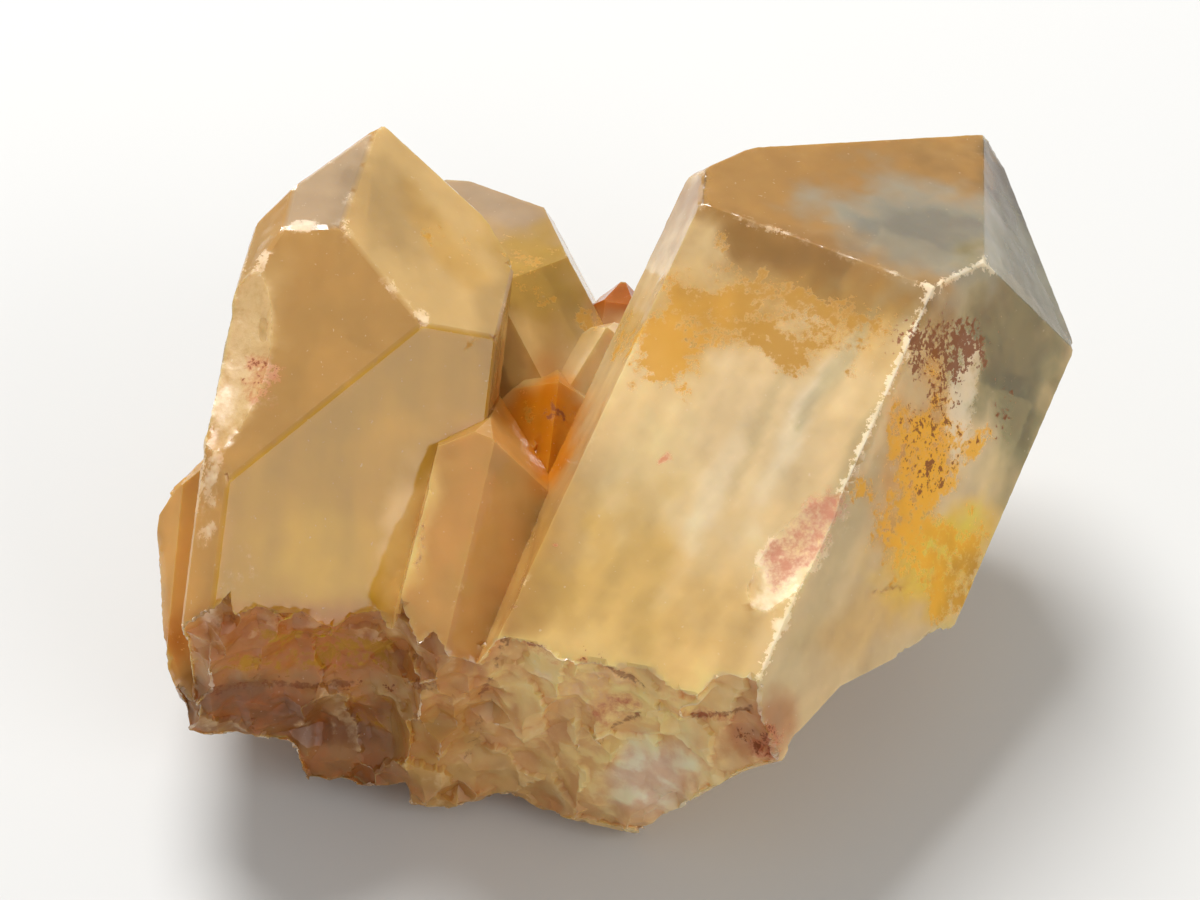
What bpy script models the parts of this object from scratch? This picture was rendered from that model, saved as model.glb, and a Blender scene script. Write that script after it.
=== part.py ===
"""A hand-sized cluster of yellow quartz points that grew together, broken from its matrix and lying on its back.

Two large six-sided points lie side by side with smaller ones between, beside and under them. Their roots end in
one rough break at the front. Everything grew as one piece, so it is one solid. Lengths are in millimetres here,
with the table at height 0, and the finished mesh is in metres.
"""

import math
import random

import bmesh
import bpy
from mathutils import Matrix, Vector, noise

MM = 0.001
NOISE_SEED = 7
WELD = 0.01
NODE = "crystal_cluster"

# A quartz point: six sides parallel to its axis, and tip faces whose normals stand at this angle to the axis
TIP_SLOPE = 51.8
BLOCK = 160.0
CHAMFER = 0.22
ROOT_LENGTH = 30.0

# Every crystal: a point on its axis, the axis's bearing from +Y towards +X and its rise, in degrees.
# Sides are (turn about the axis from straight up, distance from the axis).
# Tips are (turn, slope, height on the axis above that point).
RIGHT_POINT = {
    "centre": (14.41, 2.75, 20.01),
    "bearing": 26.2,
    "rise": 22.2,
    "sides": ((2, 9.65), (62, 10.01), (122, 14.3), (182, 15.5), (242, 10.01), (302, 14.3)),
    "tips": (
        (2, TIP_SLOPE, 20.91),
        (62, TIP_SLOPE, 25.35),
        (122, TIP_SLOPE, 31.36),
        (182, TIP_SLOPE, 30.0),
        (242, TIP_SLOPE, 24.65),
        (302, TIP_SLOPE, 30.05),
    ),
}
LEFT_POINT = {
    "centre": (-19.73, -0.27, 18.73),
    "bearing": 8.5,
    "rise": 37.3,
    "sides": ((29.9, 9.0), (89.9, 12.14), (149.9, 7.5), (209.9, 9.0), (269.9, 5.3), (329.9, 12.14)),
    "tips": (
        (31.0, 51.7, 21.46),
        (2.1, 46.7, 20.78),
        (6.8, 68.2, 27.36),
        (315.2, 58.0, 24.48),
        (138.6, 49.9, 28.7),
        (267.1, TIP_SLOPE, 22.36),
    ),
}
SHOULDER_POINT = {
    "centre": (-3.6, 12.6, 15.4),
    "bearing": -30.0,
    "rise": 24.0,
    "sides": ((8, 6.2), (68, 4.6), (128, 6.5), (188, 7.0), (248, 7.0), (308, 7.0)),
    "tips": (
        (8, TIP_SLOPE, 12.4),
        (68, TIP_SLOPE, 15.6),
        (128, TIP_SLOPE, 18.0),
        (188, TIP_SLOPE, 19.0),
        (248, TIP_SLOPE, 19.0),
        (308, TIP_SLOPE, 19.0),
    ),
}
FRONT_POINT = {
    "centre": (-8.69, -7.9, 18.75),
    "bearing": 13.5,
    "rise": 22.4,
    "sides": ((4, 4.0), (44, 3.3), (105, 6.0), (165, 9.0), (225, 8.0), (285, 3.97)),
    "tips": ((14, 45, 10.9), (60, 50, 9.8), (120, TIP_SLOPE, 12.0), (320, 45, 10.8)),
}
AMBER_POINT = {
    "centre": (-3.2, 0.4, 17.4),
    "bearing": 6.5,
    "rise": 19.4,
    "sides": ((-30, 2.6), (40, 2.2), (110, 4.2), (180, 6.0), (250, 5.0), (285, 4.9)),
    "tips": ((-30, 45, 7.9), (50, 45, 7.2), (110, TIP_SLOPE, 9.0), (200, TIP_SLOPE, 9.0), (285, 50, 9.5)),
}
WEDGE_POINT = {
    "centre": (-0.9, 7.2, 19.2),
    "bearing": 28.0,
    "rise": 9.0,
    "sides": ((-30, 1.73), (40, 1.53), (110, 2.5), (180, 3.0), (250, 2.0)),
    "tips": ((-30, 55, 5.6), (40, TIP_SLOPE, 5.2), (180, TIP_SLOPE, 6.0), (270, TIP_SLOPE, 4.6)),
}
NUB_POINT = {
    "centre": (1.2, 13.6, 18.2),
    "bearing": 8.0,
    "rise": 25.0,
    "sides": ((0, 1.5), (60, 1.5), (120, 1.8), (180, 2.0), (240, 1.8), (300, 1.5)),
    "tips": ((0, TIP_SLOPE, 2.6), (60, TIP_SLOPE, 3.0), (180, TIP_SLOPE, 3.0), (300, TIP_SLOPE, 2.8)),
}
FLANK_POINT = {
    "centre": (-27.0, -7.0, 11.5),
    "bearing": 5.0,
    "rise": 30.0,
    "sides": ((-40, 4.8), (20, 4.2), (80, 5.0), (140, 5.0), (200, 5.0), (270, 4.0)),
    "tips": ((-40, 50, 13.4), (30, TIP_SLOPE, 13.9), (120, TIP_SLOPE, 15), (200, TIP_SLOPE, 14), (280, 50, 11.5)),
}
# The points underneath, which carry the cluster at the back and are hidden from the front
HEEL_POINT = {
    "centre": (5.0, 3.0, 6.6),
    "bearing": 14.0,
    "rise": 3.0,
    "sides": ((10, 7.0), (70, 7.5), (130, 7.2), (190, 7.6), (250, 7.2), (310, 7.5)),
    "tips": (
        (10, TIP_SLOPE, 24.0),
        (70, TIP_SLOPE, 25.0),
        (130, TIP_SLOPE, 24.0),
        (190, TIP_SLOPE, 27.0),
        (250, TIP_SLOPE, 23.0),
        (310, TIP_SLOPE, 26.0),
    ),
}
BACK_POINT = {
    "centre": (-16.0, 2.0, 10.0),
    "bearing": -14.0,
    "rise": 9.0,
    "sides": ((0, 6.2), (60, 6.6), (120, 6.2), (180, 6.6), (240, 6.2), (300, 6.6)),
    "tips": (
        (0, TIP_SLOPE, 19.0),
        (60, TIP_SLOPE, 21.0),
        (120, TIP_SLOPE, 19.0),
        (180, TIP_SLOPE, 22.0),
        (240, TIP_SLOPE, 19.0),
        (300, TIP_SLOPE, 21.0),
    ),
}

# Massive quartz between the roots: centre, half sizes, seed
CHUNKS = (
    ((-7.0, -5.0, 8.5), (15.0, 14.0, 8.5), 3),
    ((-18.0, -7.0, 10.0), (11.0, 10.0, 8.0), 5),
    ((5.0, -8.0, 8.0), (10.0, 13.0, 9.0), 8),
)
CHUNK_FACETS = 26
CHUNK_LEAST_REACH = 0.86

# The rough break across the roots: at each height, how far forward it stands at places along X
BREAK_LINES = (
    (0.0, ((-36, -15.0), (-26.0, -15.2), (-21.0, -14.6), (-20.4, -15.8), (-14.4, -15.8), (-13.6, -14.8),
           (-13.0, -17.3), (-9.0, -17.3), (-7.0, -16.3), (-6.0, -16.6), (-2.7, -18.0), (2.8, -19.6),
           (9.0, -21.5), (14.0, -23.5), (34, -29.0))),
    (5.0, ((-36, -15.0), (-26.0, -15.2), (-21.0, -14.4), (-20.4, -15.4), (-14.4, -15.4), (-13.2, -16.8),
           (-9.0, -17.0), (-7.0, -16.1), (-6.0, -16.3), (1.3, -19.0), (9.0, -21.4), (14.0, -23.4), (34, -29.0))),
    (6.5, ((-36, -15.0), (-26.0, -15.1), (-21.0, -13.7), (-14.4, -13.6), (-13.2, -16.4), (-9.0, -16.6),
           (-6.0, -15.8), (1.3, -18.6), (9.0, -21.2), (14.0, -23.2), (34, -29.0))),
    (11.6, ((-36, -15.0), (-25.6, -15.2), (-17.7, -14.2), (-14.0, -13.9), (-12.8, -15.8), (-9.0, -16.3),
            (-6.0, -16.2), (1.3, -18.6), (9.0, -21.2), (14.0, -23.2), (34, -29.0))),
    (12.6, ((-36, -15.0), (-25.6, -15.0), (-17.7, -13.4), (-13.5, -12.9), (-12.6, -15.9), (-9.0, -16.5),
            (-6.0, -16.4), (1.3, -18.7), (9.0, -21.3), (14.0, -23.3), (34, -29.0))),
    (22.0, ((-36, -15.0), (-25.6, -15.2), (-17.7, -13.5), (-13.5, -12.7), (-12.6, -16.0), (-9.0, -16.6),
            (-5.8, -16.6), (1.3, -18.9), (9.0, -21.5), (14.0, -23.5), (34, -29.0))),
)
BREAK_STEP = 1.15
BREAK_ROUGHNESS = 1.1
BREAK_ACROSS = (-35.0, 33.0)
BREAK_HEIGHTS = (-6.0, 46.0)
BREAK_FRONT = -70.0
# The splinters follow the axis of the right-hand point, so they lean as they go down
BREAK_LEAN = 0.35
BREAK_WANDER = 0.4
WANDER_WAVES = 0.7
SPLINTER_LEVEL = 2.0

# Waves per millimetre across and down the splinters, and their shares of the roughness
RIDGES = (0.4, 0.12, 0.8)
LARGE_FLAKES = (0.3, 0.1, 1.5)
SMALL_FLAKES = (0.66, 0.28, 0.8)
SMALL_FLAKES_LEVEL = 9.0
TILT_WAVES = 3.7
STEP_WAVES = 5.3
STEP_SHARE = 0.35

# The lower edge of the break and of the underside, seen square on from the front and 50 degrees up:
# sideways, upwards in that view, and towards the viewer, from the view's centre
VIEW_RISE = 50.0
VIEW_CENTRE = (0.0, 0.0, 20.0)
VIEW_DISTANCE = 260.0
UNDER_EDGE = (
    (-27.2, 3.0, -3.0), (-27.0, -0.6, -2.0), (-28.9, -2.7, -1.0), (-29.9, -4.4, 0.0), (-30.1, -6.1, 0.0),
    (-29.7, -11.6, 1.0), (-29.3, -14.4, 1.0), (-28.3, -17.1, 1.0), (-28.0, -19.0, 1.0), (-25.4, -19.9, 1.0),
    (-21.0, -21.3, 0.0), (-20.4, -23.4, -3.0), (-14.4, -23.4, -4.0), (-13.5, -23.1, -4.0),
    (-13.2, -24.5, -3.5), (-10.8, -25.0, -3.5), (-6.8, -23.8, -4.5), (-2.7, -25.3, -3.5), (2.7, -26.4, -3.0),
    (6.1, -23.8, 1.0), (9.5, -21.4, 5.0), (12.0, -20.4, 8.0), (12.9, -18.7, 8.0), (16.0, -15.7, 5.0),
    (19.9, -13.9, 3.0), (23.0, -12.3, 0.0), (25.0, -12.2, -1.0), (28.5, -5.0, -3.0),
)
UNDER_DRAFT = 36.0
UNDER_NARROWING = 0.012
UNDER_ROUGHNESS = 0.7
UNDER_STEP = 1.4
UNDER_ROWS = 16
UNDER_DEPTH = 46.0
UNDER_ROWS_IN_FRONT = 4
UNDER_SPLINTER_LEVEL = 11.0
UNDER_FADE = 4.0
# The cutter's far side is its near side moved away from this height on the Z axis
UNDER_APEX = 26.0
UNDER_REACH = 1.6

# Dents left by flakes: point on the surface, outward normal, long direction, half length, half width, depth
FLAKES = (
    ((12.9, -12.3, 24.5), (-0.14, -0.35, 0.93), (0.65, 0.7, 0.3), 5.2, 1.9, 0.45),
    ((-23.6, 1.2, 29.6), (-0.2, -0.3, 0.93), (0.12, 0.79, 0.61), 5.2, 2.1, 0.55),
)
FLAKE_RIPPLE = 0.012
FLAKE_RIPPLE_WAVES = 1.4


def direction(bearing, rise):
    """Unit vector at a bearing from +Y towards +X and a rise above level, both in degrees."""
    turn, lift = math.radians(bearing), math.radians(rise)
    return Vector((math.sin(turn) * math.cos(lift), math.cos(turn) * math.cos(lift), math.sin(lift)))


def add_object(name, bm):
    """A mesh object made from bm, with its faces pointing out."""
    bmesh.ops.recalc_face_normals(bm, faces=bm.faces[:])
    mesh = bpy.data.meshes.new(name)
    bm.to_mesh(mesh)
    bm.free()
    obj = bpy.data.objects.new(name, mesh)
    bpy.context.scene.collection.objects.link(obj)
    return obj


def block_cut_by(centre, planes):
    """A block about centre, cut to the inside of every plane (point, outward normal)."""
    bm = bmesh.new()
    bmesh.ops.create_cube(bm, size=BLOCK, matrix=Matrix.Translation(centre))
    for point, normal in planes:
        whole = bm.verts[:] + bm.edges[:] + bm.faces[:]
        cut = bmesh.ops.bisect_plane(bm, geom=whole, plane_co=point, plane_no=normal, clear_outer=True)
        rim = [item for item in cut["geom_cut"] if isinstance(item, bmesh.types.BMEdge)]
        if rim:
            bmesh.ops.edgeloop_fill(bm, edges=rim)
    bmesh.ops.remove_doubles(bm, verts=bm.verts[:], dist=WELD)
    return bm


def crystal(name, shape, chamfer=0.0):
    """A six-sided point whose root end runs on past the break."""
    centre = Vector(shape["centre"])
    axis = direction(shape["bearing"], shape["rise"])
    up = (Vector((0, 0, 1)) - axis * axis.z).normalized()
    right = axis.cross(up)

    def outward(turn, slope):
        around = up * math.cos(math.radians(turn)) + right * math.sin(math.radians(turn))
        return axis * math.cos(math.radians(slope)) + around * math.sin(math.radians(slope))

    planes = [(centre + outward(turn, 90) * reach, outward(turn, 90)) for turn, reach in shape["sides"]]
    planes += [(centre + axis * height, outward(turn, slope)) for turn, slope, height in shape["tips"]]
    planes.append((centre - axis * ROOT_LENGTH, -axis))
    bm = block_cut_by(centre, planes)
    if chamfer:
        bmesh.ops.bevel(bm, geom=bm.edges[:], offset=chamfer, segments=1, profile=0.5, affect="EDGES",
                        clamp_overlap=True)
    return add_object(name, bm)


def chunk(name, centre, half_sizes, seed):
    """A lump of massive quartz with flat broken faces all round."""
    pick = random.Random(seed)
    planes = []
    for _ in range(CHUNK_FACETS):
        outward = Vector([pick.gauss(0, 1) for _ in range(3)]).normalized()
        reach = math.sqrt(sum((outward[i] * half_sizes[i]) ** 2 for i in range(3))) * pick.uniform(CHUNK_LEAST_REACH, 1.0)
        planes.append((Vector(centre) + outward * reach, outward))
    return add_object(name, block_cut_by(Vector(centre), planes))


def along(line, x):
    """The value at x of a line given by its points."""
    for (x0, y0), (x1, y1) in zip(line, line[1:]):
        if x <= x1:
            return y0 + (y1 - y0) * (x - x0) / (x1 - x0)
    return line[-1][1]


def break_depth(x, z):
    """How far forward the break stands, between the lines drawn for the heights around z."""
    for (low, low_line), (high, high_line) in zip(BREAK_LINES, BREAK_LINES[1:]):
        if z <= high:
            share = min(1.0, max(0.0, (z - low) / (high - low)))
            return along(low_line, x) * (1 - share) + along(high_line, x) * share
    return along(BREAK_LINES[-1][1], x)


def flat_flakes(place):
    """Height of a surface of tilted flat flakes with small steps between them."""
    nearest = noise.voronoi(place)[1][0]
    tilt = noise.noise_vector(nearest * TILT_WAVES)
    return tilt.dot(place - nearest) + STEP_SHARE * noise.noise(nearest * STEP_WAVES)


def splinters(place, roughness):
    """Height of a splintery break: long ridges, flat flakes and fine grit."""
    ridges = noise.noise(Vector((place.x * RIDGES[0], place.y * RIDGES[1], place.z)))
    large = flat_flakes(Vector((place.x * LARGE_FLAKES[0], place.y * LARGE_FLAKES[1], place.z)))
    level = place.z + SMALL_FLAKES_LEVEL
    small = flat_flakes(Vector((place.x * SMALL_FLAKES[0], place.y * SMALL_FLAKES[1], level)))
    return roughness * (RIDGES[2] * ridges + LARGE_FLAKES[2] * large + SMALL_FLAKES[2] * small)


def grid_block(name, rows, outside):
    """A closed block between a grid of points and the same grid moved to outside(point)."""
    bm = bmesh.new()
    near = [[bm.verts.new(point) for point in row] for row in rows]
    far = [[bm.verts.new(outside(point)) for point in row] for row in rows]
    last_row, last_column = len(rows) - 1, len(rows[0]) - 1
    for i in range(last_row):
        for j in range(last_column):
            bm.faces.new((near[i][j], near[i][j + 1], near[i + 1][j + 1], near[i + 1][j]))
            bm.faces.new((far[i][j], far[i + 1][j], far[i + 1][j + 1], far[i][j + 1]))
    for i in range(last_row):
        for j in (0, last_column):
            bm.faces.new((near[i][j], near[i + 1][j], far[i + 1][j], far[i][j]))
    for j in range(last_column):
        for i in (0, last_row):
            bm.faces.new((near[i][j], near[i][j + 1], far[i][j + 1], far[i][j]))
    bmesh.ops.triangulate(bm, faces=bm.faces[:])
    return add_object(name, bm)


def break_cutter():
    """What the rough break across the roots takes away."""
    columns = round((BREAK_ACROSS[1] - BREAK_ACROSS[0]) / BREAK_STEP)
    levels = round((BREAK_HEIGHTS[1] - BREAK_HEIGHTS[0]) / BREAK_STEP)
    rows = []
    for i in range(levels + 1):
        z = BREAK_HEIGHTS[0] + i * BREAK_STEP
        row = []
        for j in range(columns + 1):
            x = BREAK_ACROSS[0] + j * BREAK_STEP
            place = Vector((x - BREAK_LEAN * z, z, SPLINTER_LEVEL))
            wander = noise.noise_vector(place * WANDER_WAVES) * BREAK_STEP * BREAK_WANDER
            y = break_depth(x, z) + splinters(place, BREAK_ROUGHNESS)
            row.append(Vector((x + wander.x, y, z + wander.y)))
        rows.append(row)
    return grid_block("break_cutter", rows, lambda point: Vector((point.x, BREAK_FRONT, point.z)))


def view_axes():
    """Right, up and towards the viewer, for the view that UNDER_EDGE is drawn in."""
    rise = math.radians(VIEW_RISE)
    return (
        Vector((1, 0, 0)),
        Vector((0, math.sin(rise), math.cos(rise))),
        Vector((0, -math.cos(rise), math.sin(rise))),
    )


def resampled(points, step):
    """Points at most step apart along an open run."""
    found = [Vector(points[0])]
    for a, b in zip(points, points[1:]):
        a, b = Vector(a), Vector(b)
        count = max(1, math.ceil((b - a).length / step))
        found += [a.lerp(b, k / count) for k in range(1, count + 1)]
    return found


def underside_cutter():
    """What the rough underside takes away: outside the drawn edge, and inwards from it going back."""
    right, up, toward = view_axes()
    centre = Vector(VIEW_CENTRE)
    edge = resampled(UNDER_EDGE, UNDER_STEP)
    draft = math.tan(math.radians(UNDER_DRAFT))
    rows = []
    for i in range(-UNDER_ROWS_IN_FRONT, UNDER_ROWS + 1):
        row = []
        for point in edge:
            flat = Vector((point.x, point.y))
            inward = Vector((-point.x * UNDER_NARROWING, 1.0)).normalized()
            back = i * UNDER_DEPTH / UNDER_ROWS
            depth = point.z - back
            # Lines of sight spread from the eye, so the drawn edge stays the edge at every depth
            spread = (VIEW_DISTANCE - depth) / (VIEW_DISTANCE - point.z)
            place = flat * spread + inward * max(0.0, back) * draft
            solid_place = centre + right * place.x + up * place.y + toward * depth
            if back > 0:
                level = Vector((solid_place.x, solid_place.y, UNDER_SPLINTER_LEVEL))
                solid_place += up * splinters(level, UNDER_ROUGHNESS) * min(1.0, back / UNDER_FADE)
            row.append(solid_place)
        rows.append(row)
    apex = Vector((0, 0, UNDER_APEX))
    return grid_block("underside_cutter", rows, lambda point: point + (point - apex) * UNDER_REACH)


def flake_cutter(name, place, normal, lengthwise, half_length, half_width, depth):
    """A flattened ball that leaves a shallow shell-shaped dent."""
    normal = Vector(normal).normalized()
    lengthwise = Vector(lengthwise)
    lengthwise = (lengthwise - normal * lengthwise.dot(normal)).normalized()
    across = normal.cross(lengthwise)
    radius = (half_width**2 + depth**2) / (2 * depth)
    bm = bmesh.new()
    bmesh.ops.create_icosphere(bm, subdivisions=4, radius=radius)
    for vert in bm.verts:
        x, y, z = vert.co
        ripple = 1.0 + FLAKE_RIPPLE * noise.noise(vert.co * FLAKE_RIPPLE_WAVES)
        vert.co = (lengthwise * x * half_length / half_width + across * y + normal * z) * ripple
        vert.co += Vector(place) + normal * (radius - depth)
    return add_object(name, bm)


def combine(target, other, operation):
    """Union or difference of two solids, after which only the target is left."""
    modifier = target.modifiers.new(operation.lower(), "BOOLEAN")
    modifier.operation = operation
    modifier.solver = "EXACT"
    modifier.object = other
    graph = bpy.context.evaluated_depsgraph_get()
    result = bpy.data.meshes.new_from_object(target.evaluated_get(graph))
    target.modifiers.remove(modifier)
    target.data = result
    bpy.data.objects.remove(other, do_unlink=True)


def table_cutter():
    """Everything below the table."""
    bm = bmesh.new()
    bmesh.ops.create_cube(bm, size=BLOCK, matrix=Matrix.Translation((0, 0, -BLOCK / 2)))
    return add_object("table_cutter", bm)


def quartz_material():
    material = bpy.data.materials.new("quartz")
    material.use_nodes = True
    shader = material.node_tree.nodes["Principled BSDF"]
    shader.inputs["Base Color"].default_value = (0.72, 0.42, 0.16, 1.0)
    shader.inputs["Roughness"].default_value = 0.18
    shader.inputs["Metallic"].default_value = 0.0
    return material


def stand_on_origin(obj):
    """Metres, with the middle of the box's base at the origin."""
    points = [vert.co for vert in obj.data.vertices]
    low = Vector([min(point[i] for point in points) for i in range(3)])
    high = Vector([max(point[i] for point in points) for i in range(3)])
    middle = Vector(((low.x + high.x) / 2, (low.y + high.y) / 2, low.z))
    for vert in obj.data.vertices:
        vert.co = (vert.co - middle) * MM


def build():
    # Without a seed, Blender's noise vectors differ each time that the script runs
    noise.seed_set(NOISE_SEED)
    for obj in list(bpy.data.objects):
        bpy.data.objects.remove(obj, do_unlink=True)
    cluster = crystal(NODE, RIGHT_POINT, CHAMFER)
    combine(cluster, crystal("left", LEFT_POINT, CHAMFER), "UNION")
    for name, shape in (
        ("shoulder", SHOULDER_POINT),
        ("heel", HEEL_POINT),
        ("back", BACK_POINT),
        ("front", FRONT_POINT),
        ("amber", AMBER_POINT),
        ("wedge", WEDGE_POINT),
        ("nub", NUB_POINT),
        ("flank", FLANK_POINT),
    ):
        combine(cluster, crystal(name, shape), "UNION")
    for number, (centre, half_sizes, seed) in enumerate(CHUNKS):
        combine(cluster, chunk(f"chunk_{number}", centre, half_sizes, seed), "UNION")
    combine(cluster, break_cutter(), "DIFFERENCE")
    combine(cluster, underside_cutter(), "DIFFERENCE")
    for number, flake in enumerate(FLAKES):
        combine(cluster, flake_cutter(f"flake_{number}", *flake), "DIFFERENCE")
    combine(cluster, table_cutter(), "DIFFERENCE")
    stand_on_origin(cluster)
    cluster.data.materials.clear()
    cluster.data.materials.append(quartz_material())


build()
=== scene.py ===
import math

import bmesh
import bpy
import numpy as np
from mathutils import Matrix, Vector, geometry, kdtree, noise
from mathutils.bvhtree import BVHTree


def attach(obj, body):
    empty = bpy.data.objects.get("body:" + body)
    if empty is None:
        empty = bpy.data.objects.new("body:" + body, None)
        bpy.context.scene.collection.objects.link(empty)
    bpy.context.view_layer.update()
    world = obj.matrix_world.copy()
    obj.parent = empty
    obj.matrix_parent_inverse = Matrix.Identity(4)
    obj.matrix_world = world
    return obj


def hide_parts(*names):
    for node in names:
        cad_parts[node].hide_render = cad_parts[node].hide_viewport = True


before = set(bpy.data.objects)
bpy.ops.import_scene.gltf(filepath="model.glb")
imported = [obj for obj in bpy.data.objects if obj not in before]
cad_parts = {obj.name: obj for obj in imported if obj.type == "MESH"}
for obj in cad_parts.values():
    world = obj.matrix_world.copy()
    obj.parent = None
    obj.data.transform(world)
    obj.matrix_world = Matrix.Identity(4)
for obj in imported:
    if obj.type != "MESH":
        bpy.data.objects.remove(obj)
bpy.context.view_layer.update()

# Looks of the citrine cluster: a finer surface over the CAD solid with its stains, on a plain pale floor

MM = 0.001
NODE = "crystal_cluster"

# The camera stands where the photo's did: 50 degrees above level, 260 mm from a point inside the cluster
VIEW_RISE = 50.0
VIEW_DISTANCE = 260.0
VIEW_TARGET = (-1.372, -1.682, 20.0)
PHOTO_WIDTH = 1200.0
PHOTO_MIDDLE = (600.0, 450.0)
FOCAL_PIXELS = 3837.6
SENSOR = 36.0
PIXELS_PER_MM = FOCAL_PIXELS / VIEW_DISTANCE

# The surface mesh, in millimetres, square millimetres and degrees
CRYSTAL_STEP = 0.45
ROUGH_STEP = 0.3
CRYSTAL_AREA = 6.0
SMALL_CRYSTAL_AREA = 0.8
HIGH_FROM = 16.5
BEHIND_BREAK = -9.0
STRIP_AREA = 0.5
STRIP_RATIO = 80.0
WELD = 0.002
FLAT_ANGLE = 0.4
SHARP_ANGLE = 24.0
EDGE_ANGLE = 5.0
EDGE_REACH = 2.5
SAME_PLANE = 0.05
SAME_WAY = 2.0
ROW_SHARE = math.sqrt(0.75)
GRID_CLEARANCE = 0.45
FILL_WELD = 1e-5
TINY = 1e-12

# Bearings from +Y towards +X and rises above level of the two large points' axes, in degrees
RIGHT_AXIS = (26.2, 22.2)
LEFT_AXIS = (8.5, 37.3)
BETWEEN_POINTS = -3.0

# Colours as they look in the photo, in sRGB
TONES = {
    "cream": (236, 206, 150),
    "milk": (240, 214, 166),
    "golden": (212, 162, 68),
    "straw": (226, 182, 96),
    "yellow": (255, 208, 60),
    "ochre": (224, 152, 8),
    "moss": (192, 152, 60),
    "tan": (192, 148, 84),
    "tawny": (206, 157, 36),
    "lilac": (190, 164, 130),
    "pink": (186, 160, 128),
    "blush": (216, 180, 118),
    "rose": (232, 174, 100),
    "flank": (236, 180, 100),
    "amber": (222, 134, 12),
    "umber": (180, 136, 72),
    "brown": (184, 100, 14),
    "bark": (128, 68, 8),
    "pale": (255, 214, 136),
    "grey": (240, 192, 124),
    "white": (255, 238, 210),
    "smoke": (150, 148, 100),
    "dusk": (84, 66, 26),
    "haze": (178, 166, 124),
    "clear": (178, 178, 160),
    "bright": (255, 240, 206),
}
IRON = (178, 126, 0)
IRON_LIT = (244, 176, 30)
RUST = (132, 64, 2)
WHITE = (248, 228, 198)
RED = (186, 78, 42)
DIRT = (200, 104, 24)
# Painted highlight on the tops of the break's ridges
CREST_HIGHLIGHT = (255, 230, 180)
CRACK = (118, 56, 10)

# Colours of whole flat faces: name, a place on the face in the photo, strength
FACES = {
    # Left tip facets: quartz colour paled by a painted sheen of the light from above
    "left tip front": ("lilac", (318, 190), 1.0),
    "left tip right": ("blush", (430, 250), 1.0),
    "left chevron": ("tan", (345, 300), 0.95),
    "left body": ("tawny", (360, 450), 0.95),
    "left body right": ("tawny", (452, 400), 0.9),
    "right tip": ("umber", (830, 185), 0.9),
    "right far strip": ("dusk", (1018, 215), 0.9),
    "shoulder tip": ("pink", (495, 200), 0.8),
}

# Broad colours: name, middle and half sizes in the photo's pixels, turn in degrees, strength
BROAD = {
    "left lower body": ("yellow", (340, 560), (90, 50), 8, 0.3),
    "left tip vein": ("golden", (440, 235), (16, 70), -35, 0.45),
    "left side": ("blush", (245, 330), (40, 100), 10, 0.6),
    "left flank": ("flank", (185, 570), (45, 130), 8, 0.95),
    "left base": ("brown", (310, 648), (150, 40), 5, 0.85),
    "left base low": ("bark", (290, 722), (160, 40), 8, 0.9),
    # left foot: brown stain, darkened further by painted shade at the bottom of the break
    "left foot": ("bark", (330, 785), (90, 30), 5, 0.7),
    "front point": ("rose", (470, 540), (60, 120), 12, 0.9),
    # front left strip: painted light, paler to offset the shade on this facet
    "front left strip": ("pale", (405, 540), (24, 95), 12, 0.9),
    "front foot": ("golden", (430, 740), (50, 80), 5, 0.6),
    "front foot low": ("brown", (470, 700), (50, 70), 5, 0.5),
    "amber point": ("amber", (530, 400), (50, 50), 0, 1.0),
    "amber root": ("amber", (552, 450), (26, 60), 20, 0.9),
    "shoulder": ("moss", (545, 270), (75, 85), 35, 0.95),
    "shoulder tip": ("pink", (495, 200), (40, 22), 25, 0.9),
    # shoulder low: painted light, paler to offset the deep shade on this facet
    "shoulder low": ("pale", (512, 360), (30, 54), 8, 0.9),
    "nub": ("brown", (617, 297), (34, 34), 0, 1.0),
    "right tip": ("umber", (830, 185), (240, 80), -4, 1.0),
    "right far strip": ("dusk", (1018, 215), (34, 100), -15, 1.0),
    "right window": ("clear", (918, 236), (116, 72), 6, 1.0),
    "right window low": ("haze", (866, 292), (80, 34), 22, 0.9),
    "right front top": ("umber", (810, 262), (150, 44), 22, 0.9),
    "right belt": ("golden", (760, 325), (170, 50), 4, 0.75),
    "right middle": ("milk", (775, 430), (120, 90), -60, 0.8),
    "right veil": ("bright", (790, 440), (100, 14), -64, 0.55),
    "right veil two": ("bright", (700, 520), (110, 14), -66, 0.4),
    "right veil three": ("bright", (832, 372), (50, 12), -52, 0.5),
    "right shade": ("haze", (852, 350), (70, 9), -60, 0.55),
    "right shade two": ("haze", (818, 392), (56, 7), -62, 0.5),
    "right shade three": ("haze", (862, 440), (60, 9), -62, 0.5),
    "right shade four": ("haze", (762, 420), (80, 8), -66, 0.35),
    "right lower left": ("straw", (610, 590), (100, 110), -60, 0.7),
    "right base": ("pale", (560, 670), (70, 50), 10, 0.9),
    "right lower": ("straw", (700, 650), (110, 60), -30, 0.4),
    "right side": ("smoke", (1015, 360), (75, 150), 10, 0.95),
    "right side left": ("ochre", (922, 470), (50, 110), 10, 0.8),
    "right side veil": ("milk", (966, 470), (26, 80), 8, 0.7),
    "right side low": ("yellow", (935, 560), (80, 64), -30, 1.0),
    "right under": ("straw", (860, 625), (70, 30), -25, 0.6),
    "right foot": ("pale", (610, 730), (150, 100), 10, 0.9),
    "right foot grey": ("grey", (525, 740), (45, 45), 0, 0.8),
    "right foot white": ("white", (655, 785), (46, 56), 40, 0.85),
    "right foot red": ("brown", (755, 735), (50, 40), -30, 0.7),
}

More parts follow.
